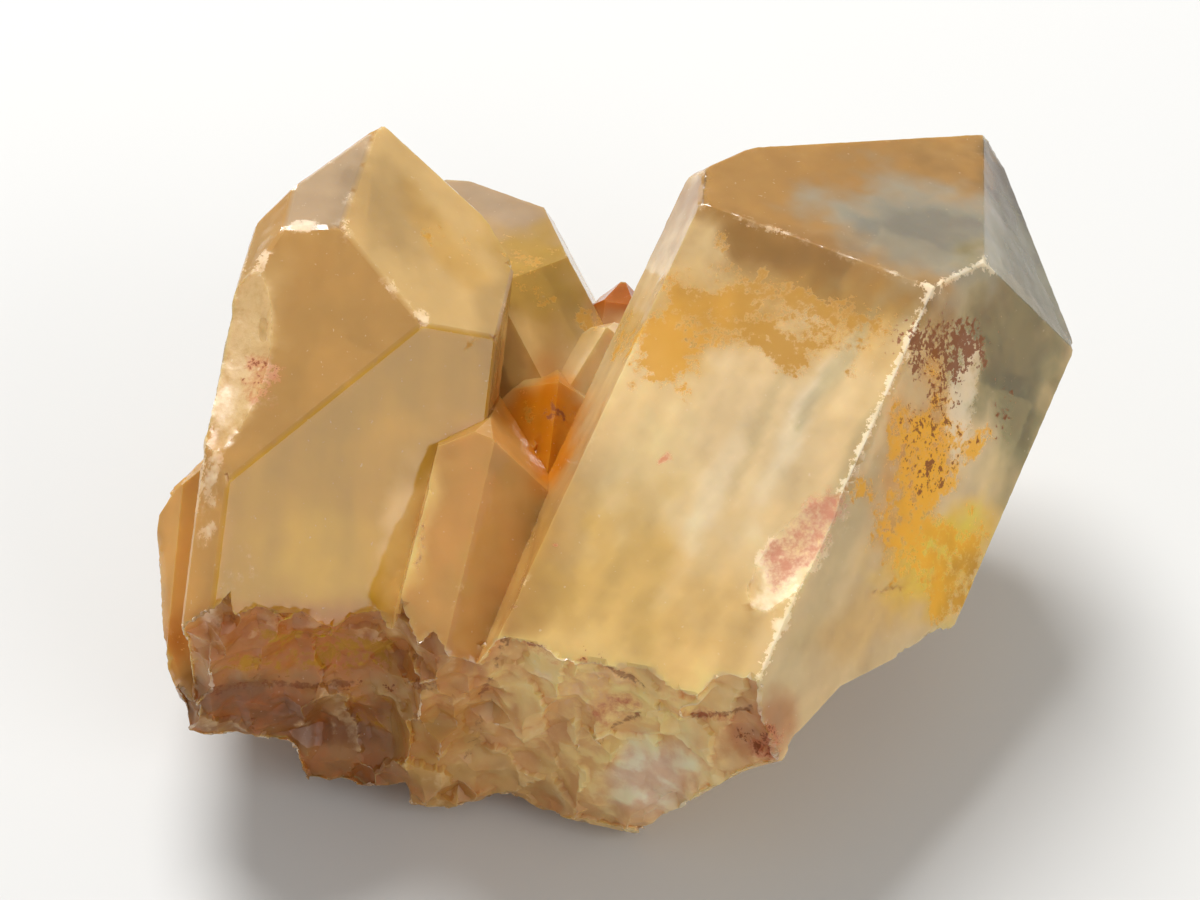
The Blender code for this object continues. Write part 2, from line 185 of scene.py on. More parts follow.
# Where the quartz is clear: middle, half sizes, turn, strength
CLEAR = {
    "right window": ((918, 236), (85, 55), 6, 0.6),
    "right tip": ((900, 215), (150, 80), 12, 0.2),
    "right side": ((1020, 330), (60, 110), 0, 0.65),
    "right front top": ((800, 270), (150, 50), 18, 0.3),
    "left tip": ((385, 205), (50, 60), -30, 0.35),
    "shoulder": ((530, 330), (60, 80), 35, 0.3),
    "left edge": ((500, 330), (25, 90), 0, 0.3),
    "amber": ((530, 400), (50, 60), 0, 0.2),
    "front point": ((470, 540), (60, 120), 12, 0.2),
}

# Yellow iron stain, as flakes: middle, half sizes, turn, strength
IRON_STAINS = {
    "belt": ((755, 325), (190, 62), 3, 0.88),
    "belt left": ((668, 345), (62, 50), -40, 1.0),
    "belt right": ((860, 335), (60, 36), 15, 0.8),
    "blob": ((720, 243), (20, 18), 0, 0.9),
    "left tip": ((450, 240), (45, 30), 20, 0.5),
    "shoulder": ((530, 265), (40, 75), -35, 0.6),
    "shoulder low": ((592, 318), (24, 24), 0, 0.8),
    "side": ((922, 478), (68, 125), 12, 0.95),
    "side low": ((955, 570), (66, 60), 20, 0.9),
    "left spot": ((478, 350), (26, 20), 0, 0.5),
    "amber": ((515, 410), (40, 30), 0, 0.6),
    "left foot": ((372, 725), (50, 50), 0, 0.6),
    "left base": ((310, 655), (140, 40), 5, 0.75),
}

# Where light from behind makes the iron stain glow
LIT = {
    "side": ((935, 480), (80, 150), 10, 1.0),
    "belt left": ((668, 350), (70, 60), 0, 0.35),
}

# Brown rust, as specks
RUST_STAINS = {
    "side top": ((948, 350), (70, 58), 0, 1.0),
    "side right": ((1000, 420), (24, 70), 0, 0.6),
    "side": ((930, 440), (56, 100), 10, 0.72),
    "side low": ((985, 560), (36, 66), 25, 0.7),
    "foot": ((290, 625), (90, 26), 5, 0.5),
    "crack": ((345, 688), (120, 12), 2, 0.6),
    "right crack": ((590, 655), (90, 14), 10, 0.55),
    "right foot": ((760, 740), (40, 26), -20, 0.7),
    "amber": ((560, 400), (20, 34), 10, 0.7),
    "chip": ((262, 375), (34, 28), 0, 0.6),
}

# White bruises, chips and fracture faces; at the left notch and the left edge also painted highlights
WHITE_STAINS_AND_HIGHLIGHTS = {
    "veil": ((962, 400), (22, 80), 8, 0.95),
    "lens": ((798, 555), (38, 86), 38, 0.72),
    "lens foot": ((782, 624), (14, 10), 0, 0.9),
    "left chip": ((420, 320), (14, 12), 0, 0.8),
    # left notch: painted highlight over a small bruise, matt so that it does not shine
    "left notch": ((304, 227), (26, 10), 0, 0.9),
    "chip rim": ((256, 402), (34, 10), -10, 0.6),
    # left edge: painted highlight along the edge, over its chips
    "left edge": ((210, 500), (14, 70), 5, 0.6),
    "left patch": ((240, 572), (32, 50), -30, 0.5),
    "left root": ((212, 625), (14, 24), 0, 0.7),
    "right foot": ((590, 690), (100, 60), 10, 0.5),
    "right foot low": ((655, 785), (44, 60), 40, 0.5),
}

# Pink and red stains, in chips and along the cracks
RED_STAINS = {
    "lens": ((812, 532), (30, 72), 38, 0.8),
    "dot": ((665, 457), (12, 6), -30, 1.0),
    "dot low": ((556, 543), (6, 4), 0, 1.0),
    "left chip": ((262, 382), (36, 32), 0, 0.7),
    "right crack": ((560, 655), (60, 12), 10, 0.6),
    "right crack two": ((690, 718), (60, 9), 2, 0.6),
    "right foot": ((765, 745), (32, 26), -30, 0.8),
    "right foot left": ((612, 712), (46, 26), -30, 0.7),
    "front foot": ((470, 690), (60, 50), 0, 0.4),
    "front point": ((486, 470), (44, 26), 0, 0.4),
}

# Stained cracks and a dark line at the top of a step, as lines in the photo with a half width in pixels and a
# strength
CRACKS = {
    "left band": (((200, 700), (245, 690), (345, 686), (440, 690)), 6, 0.8),
    "left top": (((215, 625), (260, 610), (330, 618), (400, 618)), 6, 0.55),
    # right top: a dark groove along the top of a step in the break
    "right top": (((508, 640), (560, 655), (600, 668), (640, 690)), 5, 0.75),
    "right middle": (((600, 745), (640, 715), (700, 718), (745, 712)), 5, 0.7),
    "right left": (((508, 640), (495, 670), (487, 695), (470, 760)), 6, 0.7),
    "front left": (((428, 490), (418, 560), (412, 690)), 6, 0.65),
    "front right": (((535, 520), (520, 580), (505, 640)), 6, 0.5),
    "ledge": (((869, 594), (939, 578)), 5, 0.6),
}

# Worn crystal edges, whitened by wear and by painted highlights, as lines in the photo with a half width in
# pixels and a strength
WORN_AND_HIGHLIT_EDGES = {
    "right middle": (((931, 286), (885, 404), (852, 483), (794, 611), (749, 693), (680, 770)), 26, 0.66),
    "right front": (((701, 199), (931, 286)), 22, 0.38),
    "right tip": (((931, 286), (986, 267), (995, 144)), 22, 0.6),
    "left right": (((341, 227), (423, 324)), 22, 0.35),
    "left tip": (((378, 118), (341, 227)), 20, 0.55),
    "left side": (((262, 262), (235, 300), (212, 440), (200, 500)), 26, 0.5),
}

# Depths of the fine relief, in millimetres, and the noise levels at which each part of it reaches the surface
RELIEF_WAVE = 0.05
RELIEF_STEPS = 0.03
RELIEF_FLAKE = 0.3
RELIEF_RIDGE = 0.32
RELIEF_GRIT = 0.03
RELIEF_WEAR = 0.14
RELIEF_CRACK = 0.16
FLAKE_TOP = 0.5
RIDGE_TOP = 0.7
NOISE_TOP = 1.0
PIT_DEPTHS = (0.12, 0.42)
WAVE_CLEARANCE = 1.5
WEAR_REACH = 0.7
WEAR_LEVELS = (-0.2, 0.5)
WORN_AND_HIGHLIT_BASE = 0.25
CALM_CHIPS = {
    "lens": ((798, 552), (46, 80), 38, 0.75),
    "left side": ((250, 330), (60, 140), 10, 1.0),
}

# The flat foot keeps the CAD's shape: heights of it and of its rim in millimetres, and its normal's height
FOOT_LEVEL = 0.02
FOOT_RIM = 0.3
FOOT_FACING = -0.995

# Noises over the surface: wave size in millimetres, a shift that makes each one different, octaves
RAGGED = ((3.0, 60.0, 3), (3.0, 70.0, 3))
RIDGES = (1.9, 5.0, 2)
BANDS = (0.9, 31.0, 2)
GRIT = (0.8, 11.0, 2)
WAVES = (6.0, 20.0, 2)
WEAR = (1.1, 3.0, 2)
DRIFT = (6.0, 40.0, 3)
STREAKS = (1.6, 50.0, 4)
MOTTLE = (1.2, 45.0, 2)
NOISE_FALL = 0.9
NOISE_STEP = 2.0

# How much longer along a point's axis than across it
FLAKE_STRETCH = 2.0
RIDGE_STRETCH = 5.0
BAND_STRETCH = 0.25
STREAK_STRETCH = 4.5
FLAKE_SIZE = 3.4
FLAKE_SHIFT = 7.3

# Edges of stains and cracks
RAGGED_SHARE = 0.45
SPOT_EDGE = (0.35, 1.35)
SPOT_DEPTH = 1.3
SPOT_DEPTH_MM = 1.0
LINE_CORE = 0.5
LINE_DEPTH = 3.0

# Changes of colour over the cluster
LEFT_BLEND = 3.0
LOW_HEIGHTS = (4, 12)
LOW_SHARE = 0.2
DRIFT_SHARE = 0.1
STREAK_SHARE = 0.14
MOTTLE_SHARE = 0.07
LEFT_DRIFT = 0.5
TIP_CALM = 0.7
TIP_PLACE = ((860, 200), (190, 80), 10)

# Shader noises: wave size in millimetres, detail, roughness
FINE = (0.5, 6.0, 0.7)
BROAD_NOISE = (2.2, 6.0, 0.65)
SPECKS = (0.32, 2.0, 0.5)
NOISE_MIDDLE = 0.5

# Ragged patches of a field: share of the fine noise in their pattern, contrast, levels from none to full
PATCHES = {
    "iron": (0.45, 3.4, 0.62, 0.92),
    "rust": (0.7, 4.5, 0.86, 0.98),
    "white": (0.3, 2.4, 0.45, 0.95),
    "red": (0.5, 2.4, 0.45, 1.0),
    "crack": (0.4, 4.5, 0.5, 0.95),
}
PRESENT = (0.02, 0.3)
EDGE_RAGGED = 2.2
EDGE_LEVELS = (1.38, 1.2)
WORN_AND_HIGHLIT_LEVELS = (0.8, 1.2)
DIRT_CONTRAST = 3.0
DIRT_LEVELS = (0.5, 1.3)
CREST_HIGHLIGHT_LEVELS = (0.75, 0.4)
SPECK_LEVELS = (0.7, 0.78)

# Layers of colour over the quartz, from the lowest, and how much each hides
LAYERS = {
    # bruises together with painted highlights along the crystal edges
    "bruise_and_highlight": 0.65,
    "dirt": 0.36,
    # painted highlight on the ridge tops of the break
    "crest_highlight": 0.25,
    "crack": 0.65,
    "speck": 0.4,
    "iron": 0.9,
    "red": 0.7,
    "rust": 0.9,
}

# Quartz: how far it is see-through, its gloss and grain, and the light that scatters and fades in it
CLEAR_BASE = 0.3
CLEAR_GAIN = 0.62
COVER_BLOCKS = 0.85
ROUGH_BLOCKS = 0.35
ROUGH_DULL = 0.3
COVER_DULL = 0.62
GLOSS_NOISE = 0.16
GRAIN_ROUGH = 0.4
GRAIN_SMOOTH = 0.06
GRAIN_STRENGTH = 0.5
GRAIN_DEPTH = 0.12
QUARTZ_IOR = 1.544
SCATTER_WEIGHT = 0.6
SCATTER_RADIUS = (1.0, 0.8, 0.5)
SCATTER_SCALE = 1.3
ABSORB_COLOUR = (0.96, 0.76, 0.42, 1.0)
ABSORB_DENSITY = 38.0

# Floor and light, in metres and watts
FLOOR_REACH = 1.5
FLOOR_COLOUR = (0.62, 0.62, 0.61, 1.0)
FLOOR_ROUGHNESS = 0.7
WORLD_COLOUR = (1.0, 0.98, 0.95, 1.0)
WORLD_STRENGTH = 0.43
LIGHTS = {
    "key": ((-0.12, 0.34, 0.52), 0.3, 4.6),
    "fill": ((0.45, -0.35, 0.35), 0.5, 1.3),
}
LIGHT_AIM = (0, 0, 0.015)
CLIP_START = 0.01

# Limits of the light paths
BOUNCES = 8
SEE_THROUGH_BOUNCES = 6
INDIRECT_CLAMP = 6.0


def direction(bearing, rise):
    """Unit vector at a bearing from +Y towards +X and a rise above level, both in degrees."""
    turn, lift = math.radians(bearing), math.radians(rise)
    return np.array((math.sin(turn) * math.cos(lift), math.cos(turn) * math.cos(lift), math.sin(lift)))


def view_axes():
    """Right, up and towards the viewer."""
    rise = math.radians(VIEW_RISE)
    return (
        np.array((1.0, 0.0, 0.0)),
        np.array((0.0, math.sin(rise), math.cos(rise))),
        np.array((0.0, -math.cos(rise), math.sin(rise))),
    )


def smooth(low, high, value):
    """0 at low and 1 at high, with a soft step between."""
    share = np.clip((np.asarray(value, float) - low) / (high - low), 0.0, 1.0)
    return share * share * (3 - 2 * share)


def linear(colour):
    """Linear values of an sRGB colour."""
    share = np.array(colour) / 255
    return np.where(share < 0.04045, share / 12.92, ((share + 0.055) / 1.055) ** 2.4)


def photo_place(points):
    """Where points in millimetres stand in the photo, in pixels, and their depth towards the viewer."""
    right, up, toward = view_axes()
    away = points - np.array(VIEW_TARGET)
    depth = away @ toward
    scale = FOCAL_PIXELS / (VIEW_DISTANCE - depth)
    return PHOTO_MIDDLE[0] + away @ right * scale, PHOTO_MIDDLE[1] - away @ up * scale, depth


def is_crystal(face):
    """Whether a flat face of the CAD solid is part of a crystal, and not of a break."""
    area = face.calc_area()
    strip = area > STRIP_AREA and face.calc_perimeter() ** 2 / area > STRIP_RATIO
    middle = face.calc_center_median()
    high = middle.z > HIGH_FROM and middle.y > BEHIND_BREAK and area > SMALL_CRYSTAL_AREA
    return area > CRYSTAL_AREA or strip or high


def planar_mesh(node):
    """The CAD solid in millimetres, a polygon for each flat face, its edges cut to the surface's step."""
    bm = bmesh.new()
    bm.from_mesh(node.data)
    bmesh.ops.transform(bm, matrix=node.matrix_world, verts=bm.verts[:])
    bmesh.ops.scale(bm, vec=(1 / MM, 1 / MM, 1 / MM), verts=bm.verts[:])
    bmesh.ops.remove_doubles(bm, verts=bm.verts[:], dist=WELD)
    bmesh.ops.dissolve_limit(bm, angle_limit=math.radians(FLAT_ANGLE), verts=bm.verts[:], edges=bm.edges[:])
    kinds = bm.faces.layers.int.new("crystal")
    for face in bm.faces:
        face[kinds] = int(is_crystal(face))
    for edge in bm.edges[:]:
        crystal = all(face[kinds] for face in edge.link_faces)
        start = edge.verts[0]
        pieces = math.ceil(edge.calc_length() / (CRYSTAL_STEP if crystal else ROUGH_STEP))
        for left in range(pieces, 1, -1):
            start = bmesh.utils.edge_split(edge, start, 1.0 / left)[1]
    bm.verts.index_update()
    bm.normal_update()
    return bm, kinds


def grid_inside(outline, step):
    """Points of a triangular grid that lie inside a flat outline, clear of its edge."""
    low, high = outline.min(axis=0), outline.max(axis=0)
    rows = [np.zeros((0, 2))]
    for number, height in enumerate(np.arange(low[1], high[1], step * ROW_SHARE)):
        across = np.arange(low[0] + 0.5 * step * (number % 2), high[0], step)
        rows.append(np.stack([across, np.full(len(across), height)], axis=1))
    grid = np.concatenate(rows)
    inside = np.zeros(len(grid), bool)
    nearest = np.full(len(grid), np.inf)
    for start, end in zip(outline, np.roll(outline, -1, axis=0)):
        run = end - start
        if run[1]:
            spans = (start[1] > grid[:, 1]) != (end[1] > grid[:, 1])
            inside ^= spans & (grid[:, 0] < start[0] + (grid[:, 1] - start[1]) * run[0] / run[1])
        share = np.clip((grid - start) @ run / max(run @ run, TINY), 0, 1)
        nearest = np.minimum(nearest, np.linalg.norm(grid - start - share[:, None] * run, axis=1))
    return grid[inside & (nearest > step * GRID_CLEARANCE)]


def fill_face(face, step, points):
    """Triangles over a flat polygon; new points are appended to the list."""
    ring = [vert.index for vert in face.verts]
    if len(ring) == 3:
        return [ring]
    normal = face.normal.normalized()
    across = normal.orthogonal().normalized()
    along = normal.cross(across)
    origin = face.verts[0].co
    flat = [((vert.co - origin).dot(across), (vert.co - origin).dot(along)) for vert in face.verts]
    places = [Vector(place) for place in flat + grid_inside(np.array(flat), step).tolist()]
    outline = [list(range(len(ring)))]
    spots, _, found, sources, _, _ = geometry.delaunay_2d_cdt(places, [], outline, 1, FILL_WELD)
    names = {}
    for number, source in enumerate(sources):
        if source and min(source) < len(ring):
            names[number] = ring[min(source)]
        else:
            names[number] = len(points)
            points.append(origin + across * spots[number].x + along * spots[number].y)
    return [[names[corner] for corner in corners] for corners in found]


def fine_mesh(bm, kinds):
    """Points, triangles and whether each triangle is part of a crystal face."""
    points = [vert.co.copy() for vert in bm.verts]
    triangles, crystal = [], []
    for face in bm.faces:
        made = fill_face(face, CRYSTAL_STEP if face[kinds] else ROUGH_STEP, points)
        triangles.extend(made)
        crystal.extend([face[kinds]] * len(made))
    triangles = np.array(triangles)
    crystal = np.array(crystal)
    distinct = (triangles != np.roll(triangles, 1, axis=1)).all(axis=1)
    return np.array([tuple(point) for point in points]), triangles[distinct], crystal[distinct]


def point_normals(points, triangles):
    """Unit normals of the triangles and of the points, weighted by area."""
    corners = points[triangles]
    cross = np.cross(corners[:, 1] - corners[:, 0], corners[:, 2] - corners[:, 0])
    total = np.zeros_like(points)
    for corner in range(3):
        np.add.at(total, triangles[:, corner], cross)
    areas = np.linalg.norm(cross, axis=1, keepdims=True)
    sums = np.linalg.norm(total, axis=1, keepdims=True)
    return cross / np.maximum(areas, TINY), total / np.maximum(sums, TINY)


def rough_share(points, triangles, crystal):
    """1 on broken surface and 0 on crystal faces, per point."""
    total, count = np.zeros(len(points)), np.zeros(len(points))
    for corner in range(3):
        np.add.at(total, triangles[:, corner], 1.0 - crystal)
        np.add.at(count, triangles[:, corner], 1.0)
    return total / np.maximum(count, 1)


def crystal_edges(points, triangles, crystal, face_normals):
    """Distance of each point from the nearest edge between two crystal faces, and those edges' ends."""
    owner, lines = {}, set()
    for number, corners in enumerate(triangles.tolist()):
        if not crystal[number]:
            continue
        for first, second in zip(corners, corners[1:] + corners[:1]):
            other = owner.pop((second, first), None)
            if other is None:
                owner[(first, second)] = number
            elif face_normals[number] @ face_normals[other] < math.cos(math.radians(EDGE_ANGLE)):
                lines.add((min(first, second), max(first, second)))
    tree = kdtree.KDTree(2 * len(lines))
    for number, (first, second) in enumerate(sorted(lines)):
        tree.insert(points[first], 2 * number)
        tree.insert((points[first] + points[second]) / 2, 2 * number + 1)
    tree.balance()
    return np.array([min(tree.find(place)[2], EDGE_REACH) for place in points]), lines


class Surface:
    """The fine mesh with the fields that its colours and relief are made from."""

    def __init__(self, node):
        bm, kinds = planar_mesh(node)
        self.points, self.triangles, crystal = fine_mesh(bm, kinds)
        bm.free()
        self.face_normals, self.normals = point_normals(self.points, self.triangles)
        self.rough = rough_share(self.points, self.triangles, crystal)
        self.edge, self.lines = crystal_edges(self.points, self.triangles, crystal, self.face_normals)
        self.tree = BVHTree.FromPolygons(self.points.tolist(), self.triangles.tolist())
        self.across, self.down, self.depth = photo_place(self.points)
        # Edge wear, which also sets where the edges get a painted highlight
        self.worn_and_highlit = np.maximum(self.lined(WORN_AND_HIGHLIT_EDGES), WORN_AND_HIGHLIT_BASE)
        self.crack = self.lined(CRACKS)
        self.ragged = [self.noise(*kind) * RAGGED_SHARE for kind in RAGGED]

    def seen_at(self, place):
        """The surface's point seen at a place in the photo and its triangle's number, or None for both."""
        right, up, toward = view_axes()
        eye = np.array(VIEW_TARGET) + toward * VIEW_DISTANCE
        across, down = place[0] - PHOTO_MIDDLE[0], place[1] - PHOTO_MIDDLE[1]
        ray = right * across - up * down - toward * FOCAL_PIXELS
        hit, _, number, _ = self.tree.ray_cast(Vector(eye), Vector(ray).normalized())
        return hit, number

    def depth_at(self, place):
        """Depth towards the viewer of the surface seen at a place in the photo."""
        hit, _ = self.seen_at(place)
        return photo_place(np.array(hit))[2] if hit else None

    def face(self, place):
        """1 on the flat face seen at a place in the photo and 0 elsewhere."""
        found = np.zeros(len(self.points))
        hit, number = self.seen_at(place)
        if hit is None:
            return found
        normal = self.face_normals[number]
        level = np.abs((self.points - np.array(hit)) @ normal) < SAME_PLANE
        same_way = self.face_normals @ normal > math.cos(math.radians(SAME_WAY))
        found[self.triangles[level[self.triangles].all(axis=1) & same_way]] = 1.0
        return found

    def spot(self, middle, half, turn):
        """1 inside an ellipse of the photo carried onto the surface there, 0 outside it, soft at its edge."""
        depth = self.depth_at(middle)
        if depth is None:
            return np.zeros(len(self.points))
        angle = math.radians(turn)
        wide, high = self.across - middle[0], self.down - middle[1]
        along = (wide * math.cos(angle) + high * math.sin(angle)) / half[0] + self.ragged[0]
        square = (high * math.cos(angle) - wide * math.sin(angle)) / half[1] + self.ragged[1]
        reach = max(half) / PIXELS_PER_MM * SPOT_DEPTH + SPOT_DEPTH_MM
        return 1 - smooth(*SPOT_EDGE, np.sqrt(along**2 + square**2 + ((self.depth - depth) / reach) ** 2))

    def line(self, places, half):
        """1 near a line drawn in the photo, on the surface seen there."""
        found = np.zeros(len(self.points))
        for start, end in zip(places, places[1:]):
            depths = self.depth_at(start), self.depth_at(end)
            if None in depths:
                continue
            run = np.array(end, float) - np.array(start)
            wide, high = self.across - start[0], self.down - start[1]
            share = np.clip((wide * run[0] + high * run[1]) / (run @ run), 0, 1)
            away = np.hypot(wide - share * run[0], high - share * run[1])
            level = depths[0] + share * (depths[1] - depths[0])
            deep = np.abs(self.depth - level) * PIXELS_PER_MM / LINE_DEPTH
            found = np.maximum(found, 1 - smooth(LINE_CORE * half, half, np.hypot(away, deep)))
        return found

    def lined(self, table):
        """The strongest of a table's lines at each point."""
        found = np.zeros(len(self.points))
        for places, half, strength in table.values():
            found = np.maximum(found, self.line(places, half) * strength)
        return found

    def stains(self, table):
        """The strongest of a table's stains at each point."""
        found = np.zeros(len(self.points))
        for middle, half, turn, strength in table.values():
            found = np.maximum(found, self.spot(middle, half, turn) * strength)
        return found

    def stretched(self, axis, factor):
        """The points, drawn together along an axis, so that a noise made there is drawn out along it."""
        return self.points - (self.points @ axis)[:, None] * axis * (1 - 1 / factor)

    def noise(self, size, shift, octaves, stretch=None):
        """Fractal noise from about -1 to 1, drawn out along an axis by a factor."""
        places = self.points if stretch is None else self.stretched(*stretch)
        places = places / size + shift
        return np.array([noise.fractal(place, NOISE_FALL, NOISE_STEP, octaves) for place in places])

    def flakes(self, size, axis, factor):
        """Tilted flat chips of a size in millimetres, drawn out along an axis."""
        found = []
        for place in self.stretched(axis, factor) / size:
            middle = noise.voronoi(place)[1][0]
            found.append(noise.cell_vector(middle * FLAKE_SHIFT).dot(Vector(place) - middle))
        return np.array(found)


def side_by_side(surface, make):
    """A field made along each large point's axis, joined between the points."""
    left = surface.points[:, 0] < BETWEEN_POINTS
    return np.where(left, make(direction(*LEFT_AXIS)), make(direction(*RIGHT_AXIS)))


def broken_relief(surface):
    """Relief of the break: flakes, ridges and grit, calmer in the chips that the photo shows smooth."""
    flakes = side_by_side(surface, lambda axis: surface.flakes(FLAKE_SIZE, axis, FLAKE_STRETCH))
    ridges = side_by_side(surface, lambda axis: surface.noise(*RIDGES, (axis, RIDGE_STRETCH)))
    grit = surface.noise(*GRIT)
    depth = RELIEF_FLAKE * (flakes - FLAKE_TOP) + RELIEF_RIDGE * (np.abs(ridges) - RIDGE_TOP)
    depth += RELIEF_GRIT * (grit - NOISE_TOP)
    return np.minimum(depth, 0) * (1 - surface.stains(CALM_CHIPS))


def face_relief(surface):
    """Relief of the crystal faces: slow waves, fine steps across them and wear at the edges."""
    bands = side_by_side(surface, lambda axis: surface.noise(*BANDS, (axis, BAND_STRETCH)))
    inner = smooth(0.0, WAVE_CLEARANCE, surface.edge)
    faces = inner * RELIEF_WAVE * (surface.noise(*WAVES) - NOISE_TOP) + RELIEF_STEPS * (bands - NOISE_TOP)
    wear = np.maximum(surface.worn_and_highlit - WORN_AND_HIGHLIT_BASE, 0) * (1 - smooth(0.0, WEAR_REACH, surface.edge))
    return faces - RELIEF_WEAR * wear * smooth(*WEAR_LEVELS, surface.noise(*WEAR))


def relief(surface, broken):
    """Depth of the fine relief at each point, always into the solid, and none under the flat foot."""
    depth = surface.rough * broken + (1 - surface.rough) * face_relief(surface) - RELIEF_CRACK * surface.crack
    height = surface.points[:, 2]
    foot = (height < FOOT_LEVEL) | (surface.normals[:, 2] < FOOT_FACING) & (height < FOOT_RIM)
    return np.where(foot, 0.0, depth)


def blend(colour, name, share):
    """Colours with a share of a named tone mixed in, point by point."""
    return colour * (1 - share[:, None]) + linear(TONES[name]) * share[:, None]


def tone(surface):
    """The slow changes of colour over the cluster, with painted sheen, painted light and painted shade on
    some faces.
    """
    across, height = surface.points[:, 0], surface.points[:, 2]
    left = 1 - smooth(BETWEEN_POINTS - LEFT_BLEND, BETWEEN_POINTS + LEFT_BLEND, across)
    colour = blend(np.tile(linear(TONES["cream"]), (len(left), 1)), "tan", left)
    colour = blend(colour, "rose", (1 - smooth(*LOW_HEIGHTS, height)) * LOW_SHARE)
    for name, place, strength in FACES.values():
        colour = blend(colour, name, surface.face(place) * strength)
    for name, middle, half, turn, strength in BROAD.values():
        colour = blend(colour, name, surface.spot(middle, half, turn) * strength)
    streaks = side_by_side(surface, lambda axis: surface.noise(*STREAKS, (axis, STREAK_STRETCH)))
    drift = surface.noise(*DRIFT) * DRIFT_SHARE + streaks * STREAK_SHARE
    drift += surface.noise(*MOTTLE) * MOTTLE_SHARE
    drift *= np.where(across < BETWEEN_POINTS, LEFT_DRIFT, 1 - TIP_CALM * surface.spot(*TIP_PLACE))
    return np.clip(colour * (1 + drift[:, None]), 0, 1)


def fields(surface, broken):
    """Shares of each look from 0 to 1 at each point."""
    return {
        "clear": surface.stains(CLEAR),
        "iron": surface.stains(IRON_STAINS),
        "lit": surface.stains(LIT),
        "rust": surface.stains(RUST_STAINS),
        "white": surface.stains(WHITE_STAINS_AND_HIGHLIGHTS),
        "red": surface.stains(RED_STAINS),
        "rough": surface.rough,
        "pit": smooth(*PIT_DEPTHS, -broken),
        "crack": surface.crack,
        "edge": surface.edge,
        "worn_and_highlit": surface.worn_and_highlit,
    }


def add_surface(node):
    """The fine mesh as an object, with its fields as attributes."""
    surface = Surface(node)
    broken = broken_relief(surface)
    points = surface.points + surface.normals * relief(surface, broken)[:, None]
    mesh = bpy.data.meshes.new("crystal_surface")
    mesh.from_pydata((points * MM).tolist(), [], surface.triangles.tolist())
    for name, values in fields(surface, broken).items():
        mesh.attributes.new(name, "FLOAT", "POINT").data.foreach_set("value", values.astype(np.float32))
    tones = mesh.attributes.new("tone", "FLOAT_VECTOR", "POINT")
    tones.data.foreach_set("vector", tone(surface).astype(np.float32).ravel())
    mesh.polygons.foreach_set("use_smooth", [True] * len(mesh.polygons))
    mesh.set_sharp_from_angle(angle=math.radians(SHARP_ANGLE))
    for edge in mesh.edges:
        edge.use_edge_sharp |= tuple(sorted(edge.vertices)) in surface.lines
    mesh.update()
    mesh.materials.append(quartz_material())
    piece = bpy.data.objects.new("crystal_surface", mesh)
    bpy.context.scene.collection.objects.link(piece)
    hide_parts(NODE)
    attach(piece, "root")


class Nodes:
    """Short ways to add shader nodes."""

    def __init__(self, material):
        self.tree = material.node_tree

    def add(self, kind, **inputs):
        made = self.tree.nodes.new(kind)
        for name, value in inputs.items():
            self.feed(made.inputs[name.replace("_", " ")], value)
        return made

    def feed(self, socket, value):
        if isinstance(value, bpy.types.NodeSocket):
            self.tree.links.new(value, socket)
        else:
            socket.default_value = value

    def attribute(self, name, output="Fac"):
        made = self.tree.nodes.new("ShaderNodeAttribute")
        made.attribute_name = name
        return made.outputs[output]

    def math(self, operation, first, second):
        made = self.tree.nodes.new("ShaderNodeMath")
        made.operation = operation
        self.feed(made.inputs[0], first)
        self.feed(made.inputs[1], second)
        return made.outputs[0]

    def plus(self, first, second):
        return self.math("ADD", first, second)

    def times(self, first, second):
        return self.math("MULTIPLY", first, second)

    def less(self, first, second):
        return self.math("SUBTRACT", first, second)

    def most(self, first, second):
        return self.math("MAXIMUM", first, second)

    def mix(self, share, first, second):
        """A colour between two, with the share of the second."""
        made = self.tree.nodes.new("ShaderNodeMix")
        made.data_type = "RGBA"
        self.feed(made.inputs[0], share)
        self.feed(made.inputs[6], first)
        self.feed(made.inputs[7], second)
        return made.outputs[2]

    def step(self, value, low, high):
        """0 at low and 1 at high, with a soft step between."""
        made = self.tree.nodes.new("ShaderNodeMapRange")
        made.interpolation_type = "SMOOTHSTEP"
        self.feed(made.inputs["Value"], value)
        made.inputs["From Min"].default_value = low
        made.inputs["From Max"].default_value = high
        return made.outputs["Result"]

    def noise(self, size, detail, roughness):
        """Noise from 0 to 1 with waves of a size in millimetres."""
        place = self.tree.nodes.new("ShaderNodeTexCoord").outputs["Object"]
        scale = 1 / (size * MM)
        made = self.add("ShaderNodeTexNoise", Vector=place, Scale=scale, Detail=detail, Roughness=roughness)
        return made.outputs[0]


def rgba(colour):
    """Linear values of an sRGB colour, with full alpha."""
    return (*linear(colour).tolist(), 1.0)


def patches(nodes, name, fine, broad):
    """Ragged patches of a field: a pattern of the two noises, centred on 0, moves its edge."""
    share, contrast, low, high = PATCHES[name]
    pattern = nodes.plus(nodes.times(broad, 1 - share), nodes.times(fine, share))
    strong = nodes.plus(nodes.attribute(name), nodes.times(nodes.less(pattern, NOISE_MIDDLE), contrast))
    return nodes.times(nodes.step(strong, low, high), nodes.step(nodes.attribute(name), *PRESENT))


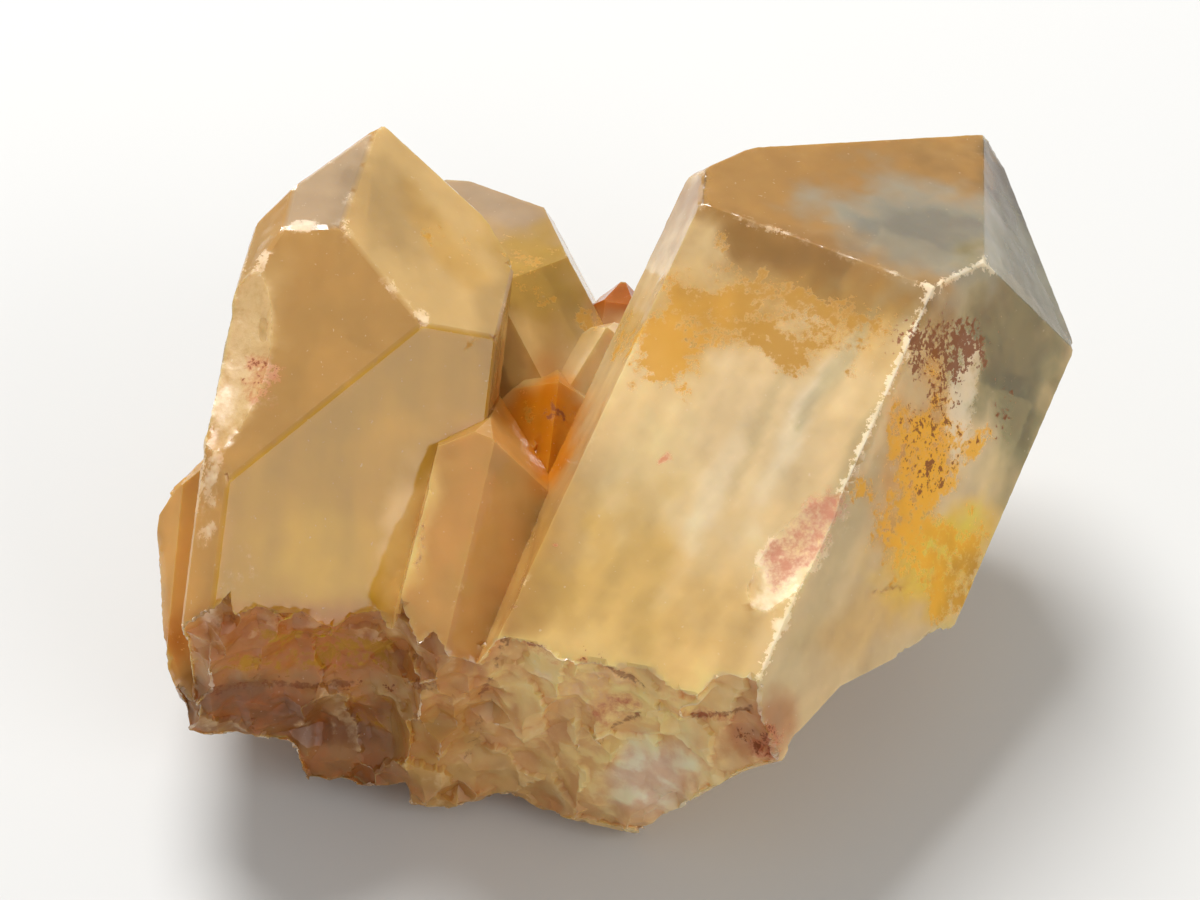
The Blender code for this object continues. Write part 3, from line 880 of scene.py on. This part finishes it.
def look_masks(nodes, fine, broad):
    """Where each layer of colour shows, from 0 to 1."""
    rough = nodes.attribute("rough")
    masks = {name: patches(nodes, name, fine, broad) for name in PATCHES}
    # White along crystal edges: bruises, and painted highlights
    near = nodes.step(nodes.plus(nodes.attribute("edge"), nodes.times(fine, EDGE_RAGGED)), *EDGE_LEVELS)
    line = nodes.times(near, nodes.step(nodes.plus(nodes.attribute("worn_and_highlit"), broad), *WORN_AND_HIGHLIT_LEVELS))
    masks["bruise_and_highlight"] = nodes.most(masks["white"], line)
    pit = nodes.times(nodes.attribute("pit"), rough)
    dust = nodes.times(nodes.less(broad, NOISE_MIDDLE), DIRT_CONTRAST)
    masks["dirt"] = nodes.step(nodes.plus(pit, dust), *DIRT_LEVELS)
    # Painted highlight on the tops of the break's ridges, away from its pits
    masks["crest_highlight"] = nodes.times(nodes.step(nodes.plus(pit, fine), *CREST_HIGHLIGHT_LEVELS), rough)
    masks["speck"] = nodes.step(nodes.noise(*SPECKS), *SPECK_LEVELS)
    return masks


def layered_colour(nodes, masks):
    """The quartz's tone under its stains, bruises, painted highlights on edges and ridge tops, and dirt."""
    paints = {
        "bruise_and_highlight": rgba(WHITE),
        "dirt": rgba(DIRT),
        "crest_highlight": rgba(CREST_HIGHLIGHT),
        "crack": rgba(CRACK),
        "speck": rgba(WHITE),
        "iron": nodes.mix(nodes.attribute("lit"), rgba(IRON), rgba(IRON_LIT)),
        "red": rgba(RED),
        "rust": rgba(RUST),
    }
    colour = nodes.attribute("tone", "Vector")
    for name, share in LAYERS.items():
        colour = nodes.mix(nodes.times(masks[name], share), colour, paints[name])
    return colour


def quartz_material():
    """Milky quartz that clears towards its points, with iron stains, bruises, painted highlights and broken
    surface.
    """
    material = bpy.data.materials.new("citrine_quartz")
    material.use_nodes = True
    nodes = Nodes(material)
    nodes.tree.nodes.clear()
    fine = nodes.noise(*FINE)
    broad = nodes.noise(*BROAD_NOISE)
    rough = nodes.attribute("rough")
    masks = look_masks(nodes, fine, broad)
    cover = nodes.most(nodes.most(masks["bruise_and_highlight"], masks["iron"]), nodes.most(masks["rust"], masks["red"]))
    cover = nodes.most(cover, masks["crack"])
    through = nodes.plus(nodes.times(nodes.attribute("clear"), CLEAR_GAIN), CLEAR_BASE)
    through = nodes.times(through, nodes.less(1.0, nodes.times(cover, COVER_BLOCKS)))
    through = nodes.times(through, nodes.less(1.0, nodes.times(rough, ROUGH_BLOCKS)))
    dull = nodes.most(nodes.times(rough, ROUGH_DULL), nodes.times(cover, COVER_DULL))
    gloss = nodes.plus(dull, nodes.times(broad, GLOSS_NOISE))
    grain = nodes.times(fine, nodes.plus(nodes.times(rough, GRAIN_ROUGH), GRAIN_SMOOTH))
    bump = nodes.add("ShaderNodeBump", Strength=GRAIN_STRENGTH, Distance=GRAIN_DEPTH * MM, Height=grain)
    shader = nodes.add("ShaderNodeBsdfPrincipled", Roughness=gloss, Normal=bump.outputs[0])
    nodes.feed(shader.inputs["Base Color"], layered_colour(nodes, masks))
    nodes.feed(shader.inputs["Transmission Weight"], through)
    shader.inputs["IOR"].default_value = QUARTZ_IOR
    shader.inputs["Subsurface Weight"].default_value = SCATTER_WEIGHT
    shader.inputs["Subsurface Radius"].default_value = SCATTER_RADIUS
    shader.inputs["Subsurface Scale"].default_value = SCATTER_SCALE * MM
    inside = nodes.add("ShaderNodeVolumeAbsorption", Color=ABSORB_COLOUR, Density=ABSORB_DENSITY)
    output = nodes.tree.nodes.new("ShaderNodeOutputMaterial")
    nodes.tree.links.new(shader.outputs[0], output.inputs["Surface"])
    nodes.tree.links.new(inside.outputs[0], output.inputs["Volume"])
    return material


def add_floor():
    """A plain pale floor under the cluster."""
    mesh = bpy.data.meshes.new("floor")
    corners = [(x * FLOOR_REACH, y * FLOOR_REACH, 0) for x, y in ((-1, -1), (1, -1), (1, 1), (-1, 1))]
    mesh.from_pydata(corners, [], [(0, 1, 2, 3)])
    material = bpy.data.materials.new("floor_pale")
    material.use_nodes = True
    shader = material.node_tree.nodes["Principled BSDF"]
    shader.inputs["Base Color"].default_value = FLOOR_COLOUR
    shader.inputs["Roughness"].default_value = FLOOR_ROUGHNESS
    mesh.materials.append(material)
    floor = bpy.data.objects.new("floor", mesh)
    bpy.context.scene.collection.objects.link(floor)


def add_light(name, place, size, power):
    """A round soft light aimed at the middle of the cluster."""
    data = bpy.data.lights.new(name, "AREA")
    data.shape = "DISK"
    data.size = size
    data.energy = power
    light = bpy.data.objects.new(name, data)
    bpy.context.scene.collection.objects.link(light)
    light.location = place
    light.rotation_euler = (Vector(place) - Vector(LIGHT_AIM)).to_track_quat("Z", "Y").to_euler()


def add_lights():
    """An even sky, a soft light from behind and a weak one from the front right."""
    world = bpy.data.worlds.new("soft")
    world.use_nodes = True
    world.node_tree.nodes["Background"].inputs["Color"].default_value = WORLD_COLOUR
    world.node_tree.nodes["Background"].inputs["Strength"].default_value = WORLD_STRENGTH
    bpy.context.scene.world = world
    for name, (place, size, power) in LIGHTS.items():
        add_light(name, place, size, power)


def add_camera():
    """The camera, at the photo's angle and distance."""
    toward = view_axes()[2]
    data = bpy.data.cameras.new("camera")
    camera = bpy.data.objects.new("camera", data)
    bpy.context.scene.collection.objects.link(camera)
    camera.location = (np.array(VIEW_TARGET) + toward * VIEW_DISTANCE) * MM
    camera.rotation_euler = Vector(toward).to_track_quat("Z", "Y").to_euler()
    data.sensor_width = SENSOR
    data.lens = FOCAL_PIXELS / PHOTO_WIDTH * SENSOR
    data.clip_start = CLIP_START
    bpy.context.scene.camera = camera


def set_tracing():
    """Enough bounces for light to pass through the crystals."""
    cycles = bpy.context.scene.cycles
    cycles.max_bounces = BOUNCES
    cycles.transmission_bounces = SEE_THROUGH_BOUNCES
    cycles.sample_clamp_indirect = INDIRECT_CLAMP
    bpy.context.scene.view_settings.view_transform = "Standard"


add_camera()
add_lights()
add_floor()
add_surface(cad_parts[NODE])
set_tracing()
